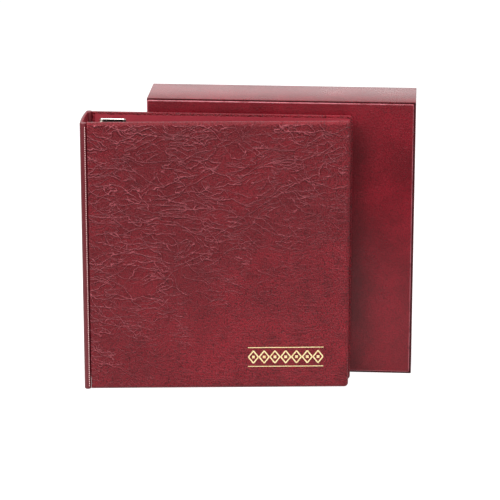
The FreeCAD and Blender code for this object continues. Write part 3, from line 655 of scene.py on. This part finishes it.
def to_front(x, z, level):
    """The same point of the leaning front cover."""
    along, across = cover_near + x / 1000, (inside - level) / 1000
    return (
        hinge_front.x + along * math.cos(lean) - across * math.sin(lean),
        hinge_front.y + along * math.sin(lean) + across * math.cos(lean),
        back_low.z + z / 1000,
    )


front_seed, back_seed = 11, 47
front_step, back_step = 1.02, 1.3
front_face = (cover_width, cover_height, padded_thick, front_seed, LONG_CREASES)
back_face = (cover_width, cover_height, padded_thick, back_seed, [])
front_leather = padded_cover("front_cover_leather", *front_face, front_step, to_front, hide.material)
back_leather = padded_cover("back_cover_leather", *back_face, back_step, to_back, hide.material)
for piece, side in ((front_leather, "front"), (back_leather, "back")):
    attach(piece, side + "_cover")
    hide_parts(side + "_skin", side + "_padding")

# Inside linings: thin smooth leathercloth glued over the turned-in leather of both covers and
# the spine. The CAD sheets stay, with a fine matt grain.
doublure = Finish("lining_leathercloth", Specular_IOR_Level=0.25)
fine = doublure.cells(1900.0)
soft = doublure.noise(30.0, 4.0)
lining_tone = doublure.blend(paint(150, 44, 56), paint(166, 54, 66), soft)
lining_tone = doublure.blend(lining_tone, paint(122, 34, 44), doublure.between(0.4, 0.9, fine) * 0.4)
doublure.wire(
    Base_Color=lining_tone,
    Roughness=0.46 + soft * 0.12,
    Normal=doublure.bump(fine, 0.0001, 0.5),
)
dress(doublure.material, "front_lining", "back_lining", "spine_lining")

# Spine: a smooth leather strip drawn over a thin bowed board and turned over its ends, and the
# two rolled joints that the covers swing on. A row of pale thread runs down each roll, close to
# its cover.
strap = Finish("smooth_joint_leather", Specular_IOR_Level=0.4)
strap_pores = strap.cells(1300.0)
strap_cloud = strap.noise(16.0, 5.0, 0.6)
strap_tone = strap.blend(paint(92, 18, 27), paint(112, 28, 38), strap_cloud)
strap_tone = strap.blend(strap_tone, paint(80, 16, 24), strap.between(0.5, 0.95, strap_pores) * 0.4)
strap.wire(
    Base_Color=strap_tone,
    Roughness=0.36 + strap_cloud * 0.12,
    Normal=strap.bump(strap_pores + strap.noise(500.0) * 0.8, 0.00018, 0.45),
)
skin_low, skin_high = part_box("spine_skin")
spine_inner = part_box("spine_lining")[0].x
roll_low, roll_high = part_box("front_joint_roll")
spine_top = skin_high.z
half_chord = (hinge_back.y - hinge_front.y) / 2
bow = roll_low.x - skin_low.x
bow_radius = (half_chord**2 + bow**2) / (2 * bow)
spine_wall = spine_inner - skin_low.x
wall_round = 0.0012
roll_radius = (roll_high.x - roll_low.x) / 2
roll_round = 0.0011


def loft(name, rings, sharp):
    """A closed leather piece through equal rings of points, capped at both ends."""
    size, last = len(rings[0]), len(rings) - 1
    faces = []
    for step in range(last):
        for k in range(size):
            near, far = step * size + k, step * size + (k + 1) % size
            faces.append((near, far, far + size, near + size))
    faces += [list(range(size)), list(range(last * size, (last + 1) * size))]
    return new_piece(name, [point for ring in rings for point in ring], faces, strap.material, sharp)


def spine_wrap():
    """The bowed wall, swept from roll to roll, with its leather rounded over both ends."""
    turn = [math.radians(t) for t in (0, 30, 60, 90)]
    corner = [(wall_round * (1 - math.cos(t)), wall_round * (1 - math.sin(t))) for t in turn]
    loop = [(deep, spine_top - low) for deep, low in corner]
    loop += [(spine_wall - deep, spine_top - low) for deep, low in reversed(corner)]
    loop += [(spine_wall - deep, low) for deep, low in corner]
    loop += [(deep, low) for deep, low in reversed(corner)]
    columns = 41
    centre_x, centre_y = skin_low.x + bow_radius, hinge_front.y + half_chord
    rings = []
    for column in range(columns):
        angle = math.asin(half_chord * (2 * column / (columns - 1) - 1) / bow_radius)
        reach = [(bow_radius - deep, z) for deep, z in loop]
        rings.append([(centre_x - r * math.cos(angle), centre_y + r * math.sin(angle), z) for r, z in reach])
    return loft("spine_leather", rings, sharp=50.0)


def joint_roll(name, hinge):
    """One rolled joint: a leather tube with softly closed ends."""
    turns = np.linspace(0, math.pi / 2, 5)
    shares = [(1 - math.sin(t), 1 - math.cos(t)) for t in turns]
    closing = [(roll_radius - roll_round * inset, roll_round * deep) for inset, deep in shares]
    ring = [(roll_radius - roll_round, 0.0)] + closing
    levels = ring + [(wide, spine_top - z) for wide, z in reversed(ring)]
    around = 40
    circle = [2 * math.pi * k / around for k in range(around)]
    rings = []
    for wide, z in levels:
        rings.append([(hinge.x + wide * math.cos(t), hinge.y + wide * math.sin(t), z) for t in circle])
    return loft(name, rings, sharp=60.0)


thread = Finish("pale_thread", Roughness=0.7)
ply = thread.noise(3000.0, 2.0)
thread.wire(Base_Color=thread.blend(paint(218, 168, 166), paint(240, 204, 200), ply))
stitch_pitch, stitch_long, stitch_wide = 0.0025, 0.0019, 0.00055
stitch_turn, stitch_slant = math.radians(33), math.radians(9)
stitch_margin = 0.003


def repeat_line(name, unit, count, start, step, material):
    """Copies of a unit mesh along a straight line, joined into one plain mesh."""
    kinds = [("Unit", "NodeSocketObject"), ("Count", "NodeSocketInt"), ("Start", "NodeSocketVector")]
    kinds += [("Step", "NodeSocketVector"), ("Finish", "NodeSocketMaterial")]
    group = bpy.data.node_groups.new(name + "_row", "GeometryNodeTree")
    made = {}
    for label, kind in kinds:
        made[label] = group.interface.new_socket(label, in_out="INPUT", socket_type=kind).identifier
    group.interface.new_socket("Geometry", in_out="OUTPUT", socket_type="NodeSocketGeometry")
    nodes, link = group.nodes, group.links.new
    entry, leave = nodes.new("NodeGroupInput"), nodes.new("NodeGroupOutput")
    line, source = nodes.new("GeometryNodeMeshLine"), nodes.new("GeometryNodeObjectInfo")
    copies, real = nodes.new("GeometryNodeInstanceOnPoints"), nodes.new("GeometryNodeRealizeInstances")
    finish = nodes.new("GeometryNodeSetMaterial")
    link(entry.outputs["Unit"], source.inputs["Object"])
    link(entry.outputs["Count"], line.inputs["Count"])
    link(entry.outputs["Start"], line.inputs["Start Location"])
    link(entry.outputs["Step"], line.inputs["Offset"])
    link(line.outputs["Mesh"], copies.inputs["Points"])
    link(source.outputs["Geometry"], copies.inputs["Instance"])
    link(copies.outputs["Instances"], real.inputs["Geometry"])
    link(real.outputs["Geometry"], finish.inputs["Geometry"])
    link(entry.outputs["Finish"], finish.inputs["Material"])
    link(finish.outputs["Geometry"], leave.inputs["Geometry"])
    piece = bpy.data.objects.new(name, bpy.data.meshes.new(name))
    bpy.context.collection.objects.link(piece)
    row = piece.modifiers.new("row", "NODES")
    row.node_group = group
    values = {"Unit": unit, "Count": count, "Start": start, "Step": step, "Finish": material}
    for label, value in values.items():
        row[made[label]] = value
    bake(piece)
    piece.data.shade_smooth()
    bpy.data.objects.remove(unit)
    return piece


def stitch_row(name, hinge, facing):
    """A row of short slanted stitches sunk half into a roll, turned towards its cover."""
    data = bmesh.new()
    bmesh.ops.create_uvsphere(data, u_segments=8, v_segments=6, radius=1.0)
    slant = Matrix.Rotation(stitch_slant * facing, 3, "Y")
    shape = Vector((stitch_wide, stitch_wide, stitch_long / 2))
    seat = roll_radius * Vector((math.sin(stitch_turn), facing * math.cos(stitch_turn), 0))
    for vertex in data.verts:
        vertex.co = slant @ (vertex.co * shape) + seat
    mesh = bpy.data.meshes.new("stitch_unit")
    data.to_mesh(mesh)
    data.free()
    unit = bpy.data.objects.new("stitch_unit", mesh)
    bpy.context.collection.objects.link(unit)
    count = int((spine_top - 2 * stitch_margin) / stitch_pitch)
    start = (hinge.x, hinge.y, stitch_margin + stitch_pitch / 2)
    row = repeat_line(name, unit, count, start, (0, 0, stitch_pitch), thread.material)
    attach(row, "spine")
    return row


spine_leather = spine_wrap()
front_roll = joint_roll("front_roll_leather", hinge_front)
back_roll = joint_roll("back_roll_leather", hinge_back)
for piece, nodes in (
    (spine_leather, ("spine_skin", "spine_board")),
    (front_roll, ("front_joint_roll",)),
    (back_roll, ("back_joint_roll",)),
):
    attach(piece, "spine")
    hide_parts(*nodes)
stitch_row("front_stitching", hinge_front, -1)
stitch_row("back_stitching", hinge_back, 1)

# Ring mechanism: bright nickel-plated sheet steel and wire, pressed and tumbled, with faint
# rolling marks and soft handling haze. Each lever has a pressed panel, duller than its rim, whose
# recess is darkened with painted shade.
nickel = Finish("nickel_plate", Metallic=1.0)
haze = nickel.noise(45.0, 5.0, 0.6)
rolled = nickel.noise(1.0, 3.0, 0.5, nickel.stretched((900.0, 900.0, 40.0)))
nickel.wire(
    Base_Color=nickel.blend(paint(222, 218, 208), paint(242, 239, 232), haze),
    Roughness=0.22 + haze * 0.12 + rolled * 0.08,
    Normal=nickel.bump(rolled, 0.00003, 0.35),
)
mechanism = ["ring_housing", "lever_pins", "mounting_rivets", "rivet_washers"]
mechanism += [f"{side}_{what}" for side in ("left", "right") for what in ("carrier", "half_rings")]
dress(nickel.material, *mechanism)
lever_low, lever_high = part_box("top_lever")
pressed = Finish("lever_plate_shaded_recess", Metallic=1.0)
rim_beside, rim_above = 0.003, 0.0007
slope_beside, slope_above = 0.0012, 0.0007
across = abs(pressed.axis("X") - (lever_low.x + lever_high.x) / 2)
upright = abs(pressed.axis("Z") - spine_top / 2)
rim_x = (lever_high.x - lever_low.x) / 2 - rim_beside
rim_z = lever_high.z - spine_top / 2 - rim_above
recess = 1 - pressed.between(rim_x - slope_beside, rim_x, across)
recess = recess * (1 - pressed.between(rim_z - slope_above, rim_z, upright))
# Painted shade: the recess is coloured dark grey, though it is the same nickel as the rim.
pressed.wire(
    Base_Color=pressed.blend(paint(206, 203, 196), paint(66, 64, 62), recess),
    Roughness=0.22 + recess * 0.25,
    Normal=pressed.bump(recess * -1.0, 0.0005),
)
dress(pressed.material, "top_lever", "bottom_lever")

# Leaves: black card, punched along the joint edge, with clear strips welded on along their
# lower edges to hold the stamps.
card = Finish("black_leaf_card", Roughness=0.75)
card_fibre = card.noise(1200.0, 5.0, 0.65)
card.wire(
    Base_Color=card.blend(paint(22, 22, 23), paint(40, 39, 39), card_fibre),
    Normal=card.bump(card_fibre, 0.00005, 0.5),
)
film = Finish("clear_strip_film", Roughness=0.08, IOR=1.45)
film_wave = film.noise(35.0, 2.0)
film.wire(
    Base_Color=paint(235, 238, 240),
    Alpha=0.16 + film_wave * 0.1,
    Normal=film.bump(film_wave, 0.0004, 0.3),
)
leaf_numbers = range(1, 7)
dress(card.material, *[f"leaf_{number}_card" for number in leaf_numbers])
dress(film.material, *[f"leaf_{number}_strips" for number in leaf_numbers])

# Gold tooling: a small row of lozenges between two fillet lines, pressed into the front cover
# with gold leaf, near the lower fore edge corner. The leaf follows the padded face.
gold = Finish("gold_leaf", Metallic=0.35)
worn_leaf = gold.noise(260.0, 5.0, 0.65)
gold.wire(
    Base_Color=gold.blend(paint(244, 226, 172), paint(220, 188, 122), gold.between(0.45, 0.75, worn_leaf)),
    Roughness=0.34 + worn_leaf * 0.16,
    Normal=gold.bump(worn_leaf, 0.00008, 0.5),
)
tool_left, tool_right, tool_foot, tool_head = 181.0, 268.0, 27.0, 50.0
lozenges, lozenge_high, lozenge_bar, lozenge_share, stud = 7, 15.0, 1.5, 0.46, 3.2
fillet_wide, leaf_thick, leaf_lift, leaf_sunk = 0.9, 0.12, 0.05, 0.3


def leaf_sheet(name, outlines):
    """Thin gold shapes laid on the padded face: each outline is a closed strip of quads."""
    points, faces = [], []
    for outer, inner in outlines:
        size = len(outer)
        base = len(points)
        ring = np.array(outer + inner)
        level, _ = cover_height_at(ring[:, 0], ring[:, 1], *front_face)
        for lift in (leaf_lift + leaf_thick, leaf_lift - leaf_sunk):
            points += [to_front(x, z, h + lift) for (x, z), h in zip(ring, level)]
        deep = len(ring)
        for k in range(size - 1):
            a, b, c, d = base + k, base + k + 1, base + size + k + 1, base + size + k
            faces += [(a, b, c, d), (a + deep, d + deep, c + deep, b + deep)]
            faces += [(a, a + deep, b + deep, b), (d, c, c + deep, d + deep)]
        first, last = (base, base + size), (base + size - 1, base + 2 * size - 1)
        for p, q in (first, last):
            faces.append((p, q, q + deep, p + deep))
    return new_piece(name, points, faces, gold.material, sharp=30.0)


def bar(a, b, wide, steps):
    """Both sides of a straight bar between two points."""
    ax, az, bx, bz = *a, *b
    run = math.hypot(bx - ax, bz - az)
    nx, nz = -(bz - az) / run * wide / 2, (bx - ax) / run * wide / 2
    line = [(ax + (bx - ax) * k / steps, az + (bz - az) * k / steps) for k in range(steps + 1)]
    return [(x + nx, z + nz) for x, z in line], [(x - nx, z - nz) for x, z in line]


shapes = [bar((tool_left, z), (tool_right, z), fillet_wide, steps=60) for z in (tool_foot, tool_head)]
cell = (tool_right - tool_left) / lozenges
middle_z = (tool_foot + tool_head) / 2
for number in range(lozenges):
    centre = tool_left + cell * (number + 0.5)
    tips = [
        (centre - cell * lozenge_share, middle_z),
        (centre, middle_z + lozenge_high / 2),
        (centre + cell * lozenge_share, middle_z),
        (centre, middle_z - lozenge_high / 2),
    ]
    shapes += [bar(p, q, lozenge_bar, steps=10) for p, q in zip(tips, tips[1:] + tips[:1])]
    shapes.append(bar((centre - stud / 2, middle_z), (centre + stud / 2, middle_z), stud, steps=4))
tooling = leaf_sheet("gold_tooling", shapes)
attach(tooling, "front_cover")

# Studio: a white sweep under the album, brightest beside it and darker towards the camera, a
# broad soft box overhead, a key from the upper left, a weak fill and a dim box behind. A long
# lens looks on from a little above.
floor_start, floor_dark, floor_white = -0.95, 0.08, 0.8
floor_power, floor_share = 1.5, 0.6
sweep = Finish("white_sweep")
sweep.tree.nodes.remove(sweep.shader)
floor_near = sweep.between(floor_start, 0.0, sweep.axis("Y")) * (floor_white - floor_dark) + floor_dark
floor_seen = sweep.rays("Is Camera Ray").most(sweep.rays("Is Glossy Ray") * floor_near)
floor_matt = sweep.node("ShaderNodeBsdfDiffuse", {}, {"Color": floor_near})
floor_glow = sweep.node("ShaderNodeEmission", {}, {"Strength": floor_power})
floor_mix = {0: floor_seen * floor_share, 1: floor_matt, 2: floor_glow}
floor_shader = sweep.node("ShaderNodeMixShader", {}, floor_mix)
sweep.feed(sweep.tree.nodes["Material Output"].inputs["Surface"], floor_shader)
span, below = 12.0, -0.0002
floor_corners = [(-span, -span, below), (span, -span, below), (span, span, below), (-span, span, below)]
floor = new_piece("studio_floor", floor_corners, [(0, 1, 2, 3)], sweep.material)

world = bpy.data.worlds.new("studio_white")
bpy.context.scene.world = world
world.use_nodes = True
sky = Graph(world.node_tree)
sky_light = 0.32
# The backdrop is full white to the eye, in reflections and through film, and dimmer as a light.
sky_seen = sky.rays("Is Camera Ray").most(sky.rays("Is Glossy Ray").most(sky.rays("Is Transmission Ray")))
backdrop = world.node_tree.nodes["Background"]
backdrop.inputs["Color"].default_value = (1, 1, 1, 1)
sky.feed(backdrop.inputs["Strength"], sky_seen * (1 - sky_light) + sky_light)


def soft_box(name, place, aim, size, watts):
    """A lit rectangle of a width and height, turned to a point."""
    lamp = bpy.data.lights.new(name, "AREA")
    lamp.shape = "RECTANGLE"
    lamp.size, lamp.size_y = size
    lamp.energy = watts
    box = bpy.data.objects.new(name, lamp)
    bpy.context.collection.objects.link(box)
    box.location = place
    box.rotation_euler = (Vector(aim) - Vector(place)).to_track_quat("-Z", "Y").to_euler()


middle = (0.02, 0.0, 0.16)
soft_box("overhead_box", (-0.15, -0.25, 1.6), middle, size=(1.6, 1.0), watts=26.0)
soft_box("key_box", (-0.8, -2.4, 1.9), middle, size=(1.0, 1.0), watts=46.0)
soft_box("fill_box", (0.9, -2.7, 1.2), middle, size=(1.4, 0.7), watts=12.0)
soft_box("rear_box", (0.1, 1.9, 0.8), (0.1, 0.0, 0.33), size=(2.8, 1.0), watts=4.5)

camera_place = Vector((0.23555, -2.86149, 1.04561))
camera_yaw = math.radians(4.0)
camera_pitch = math.radians(17.2528)
lens = bpy.data.cameras.new("photo_camera")
lens.sensor_width = 36.0
lens.lens = 187.2
lens.clip_end = 60.0
camera = bpy.data.objects.new("photo_camera", lens)
bpy.context.collection.objects.link(camera)
camera.location = camera_place
camera.rotation_euler = (math.radians(90) - camera_pitch, 0.0, camera_yaw)
bpy.context.scene.camera = camera
bpy.context.scene.view_settings.view_transform = "Standard"
